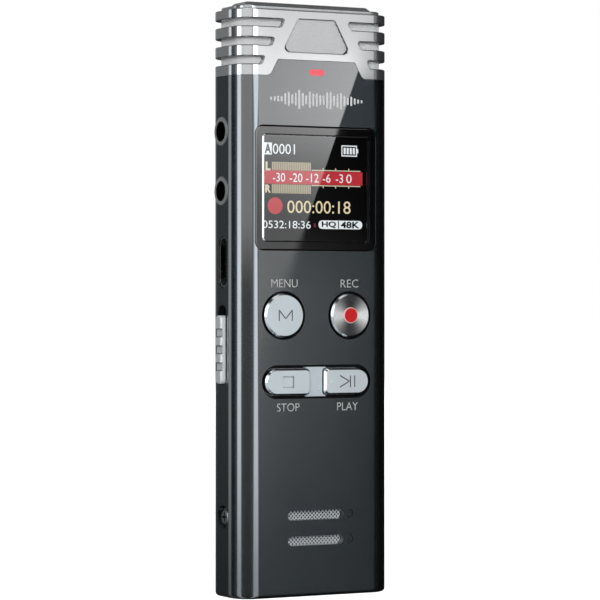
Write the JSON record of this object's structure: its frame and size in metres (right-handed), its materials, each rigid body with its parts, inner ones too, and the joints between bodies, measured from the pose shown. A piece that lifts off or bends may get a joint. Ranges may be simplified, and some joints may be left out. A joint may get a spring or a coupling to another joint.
{
  "type": "handheld voice recorder",
  "caption": "Slim upright voice recorder with a ribbed silver microphone head, colour display, press keys, slide switch, audio sockets and a USB-C socket.",
  "frame": {"origin": "centre of the base, midway between the front and back faces, on the surface it stands on", "axes": "+Z along the length towards the microphone head, -Y out of the display face, +X to the right as the display faces the reader"},
  "size_m": [0.0324, 0.0126, 0.1048],
  "materials": {
    "anodised_body": "gunmetal anodised, semi-gloss",
    "head_silver": "satin anodised silver",
    "mic_mesh": "fine woven mesh, matt",
    "key_silver": "satin silver",
    "rec_metal": "spun, circular brushing",
    "rec_red": "red enamel dot",
    "trim_silver": "satin silver",
    "black_plastic": "matt black",
    "window_black": "glossy black",
    "lens": "clear, polished",
    "lcd": "black colour panel",
    "led_red": "lit red lens",
    "knob_silver": "satin silver",
    "jack_metal": "dark satin ring",
    "usb_steel": "drawn steel",
    "screw_steel": "dark zinc",
    "contact_gold": "gold plated",
    "board_green": "solder mask",
    "chip_black": "moulded epoxy",
    "flex_amber": "polyimide film",
    "cell_foil": "foil pouch",
    "foam": "closed-cell foam",
    "mic_rubber": "moulded rubber",
    "speaker_steel": "stamped basket",
    "wire_red": "insulation",
    "speaker_mesh": "fine diamond mesh",
    "backlight_white": "white diffuser",
    "cone_film": "thin film"
  },
  "bodies": {
    "body": {"front_shell": "anodised_body", "rear_cover": "anodised_body", "head_cap": "head_silver", "top_plate": "head_silver", "front_mic_grille": "mic_mesh", "mic_mesh": "mic_mesh", "mic_boots": "mic_rubber", "microphones": "cell_foil", "mic_carrier": "black_plastic", "mic_wires": "wire_red", "display_bezel": "window_black", "display_lens": "lens", "lcd_panel": "lcd", "lcd_backlight": "backlight_white", "lcd_flex": "flex_amber", "key_frame": "black_plastic", "transport_trim": "trim_silver", "front_switches": "chip_black", "slide_switch_body": "usb_steel", "mic_jack_ring": "jack_metal", "mic_jack_socket": "black_plastic", "phones_jack_ring": "jack_metal", "phones_jack_socket": "black_plastic", "usb_shell": "usb_steel", "usb_tongue": "black_plastic", "usb_contacts": "contact_gold", "rocker_pins": "screw_steel", "rocker_brackets": "usb_steel", "side_switches": "chip_black", "main_pcb": "board_green", "led_chip": "backlight_white", "led_lens": "led_red", "processor_chip": "chip_black", "flash_chip": "chip_black", "codec_chip": "chip_black", "pcb_passives": "flex_amber", "battery_cell": "cell_foil", "battery_tray": "black_plastic", "battery_wires": "wire_red", "battery_pad": "foam", "speaker_mesh": "speaker_mesh", "speaker_frame": "speaker_steel", "speaker_cone": "cone_film", "speaker_wires": "wire_red", "side_screws": "screw_steel", "pcb_screws": "screw_steel"},
    "menu_key": {"menu_button": "key_silver", "menu_switch_stem": "black_plastic"},
    "record_key": {"rec_button": "rec_metal", "rec_dot": "rec_red", "rec_switch_stem": "black_plastic"},
    "stop_key": {"stop_button": "key_silver", "stop_switch_stem": "black_plastic"},
    "play_key": {"play_button": "key_silver", "play_switch_stem": "black_plastic"},
    "slide_switch": {"slide_knob": "knob_silver", "slide_shutter": "black_plastic", "slide_switch_lever": "black_plastic"},
    "volume_key": {"volume_rocker": "key_silver"},
    "track_key": {"track_rocker": "key_silver"}
  },
  "joints": [
    {"name": "menu_press", "type": "slide", "parent": "body", "child": "menu_key", "axis": [0, 1, 0], "range_m": [0, 0.0003], "stiffness_N_per_m": 2500},
    {"name": "record_press", "type": "slide", "parent": "body", "child": "record_key", "axis": [0, 1, 0], "range_m": [0, 0.0003], "stiffness_N_per_m": 2500},
    {"name": "stop_press", "type": "slide", "parent": "body", "child": "stop_key", "axis": [0, 1, 0], "range_m": [0, 0.0003], "stiffness_N_per_m": 2500},
    {"name": "play_press", "type": "slide", "parent": "body", "child": "play_key", "axis": [0, 1, 0], "range_m": [0, 0.0003], "stiffness_N_per_m": 2500},
    {"name": "slide_switch_travel", "type": "slide", "parent": "body", "child": "slide_switch", "axis": [0, 0, 1], "range_m": [0, 0.0016]},
    {"name": "volume_rock", "type": "hinge", "parent": "body", "child": "volume_key", "pos_m": [0.0129, 0.0002, 0.0735], "axis": [0, 1, 0], "range_deg": [-1.8, 1.8], "stiffness_Nm_per_rad": 0.3},
    {"name": "track_rock", "type": "hinge", "parent": "body", "child": "track_key", "pos_m": [0.0129, 0.0002, 0.0545], "axis": [0, 1, 0], "range_deg": [-1.8, 1.8], "stiffness_Nm_per_rad": 0.3}
  ]
}
